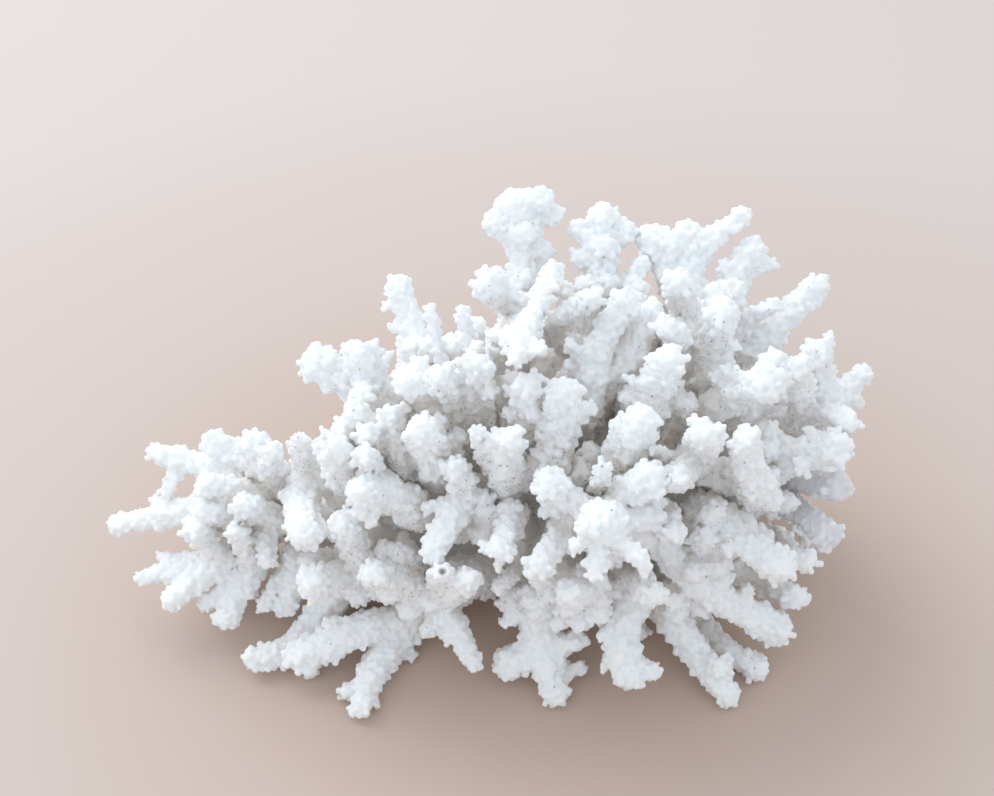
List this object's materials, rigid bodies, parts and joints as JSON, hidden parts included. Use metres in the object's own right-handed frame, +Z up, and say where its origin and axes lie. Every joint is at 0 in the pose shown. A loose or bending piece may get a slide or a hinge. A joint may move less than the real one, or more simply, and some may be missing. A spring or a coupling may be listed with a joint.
{
  "type": "branching coral",
  "caption": "Bushy white branching coral skeleton, cut off flat underneath, with knobbly finger-like branchlets covered in small tubular cups and a low arm reaching out to one side.",
  "frame": {"origin": "middle of the flat cut face that the coral rests on", "axes": "+X along the coral's length towards the tall bushy end, the low arm reaching out along -X; -Y towards the side with the low drooping branchlets; +Z up"},
  "size_m": [0.1935, 0.1177, 0.1001],
  "materials": {
    "coral": "matt, chalky white, rough with small cups",
    "stalk": "matt, cream, rough break or saw cut"
  },
  "bodies": {
    "root": {"base_stalk": "stalk", "front_limb": "coral", "low_front_limb": "coral", "lower_right_limb": "coral", "front_left_limb": "coral", "left_front_limb": "coral", "left_arm": "coral", "mid_low_limb": "coral", "right_limb": "coral", "upper_right_limb": "coral", "top_limb": "coral", "top_right_limb": "coral", "crown_limb": "coral", "upper_left_limb": "coral", "upper_mid_limb": "coral", "mid_limb": "coral", "left_upper_limb": "coral", "right_back_limb": "coral", "low_left_limb": "coral", "back_limb": "coral", "back_right_limb": "coral", "back_left_limb": "coral"}
  },
  "joints": []
}
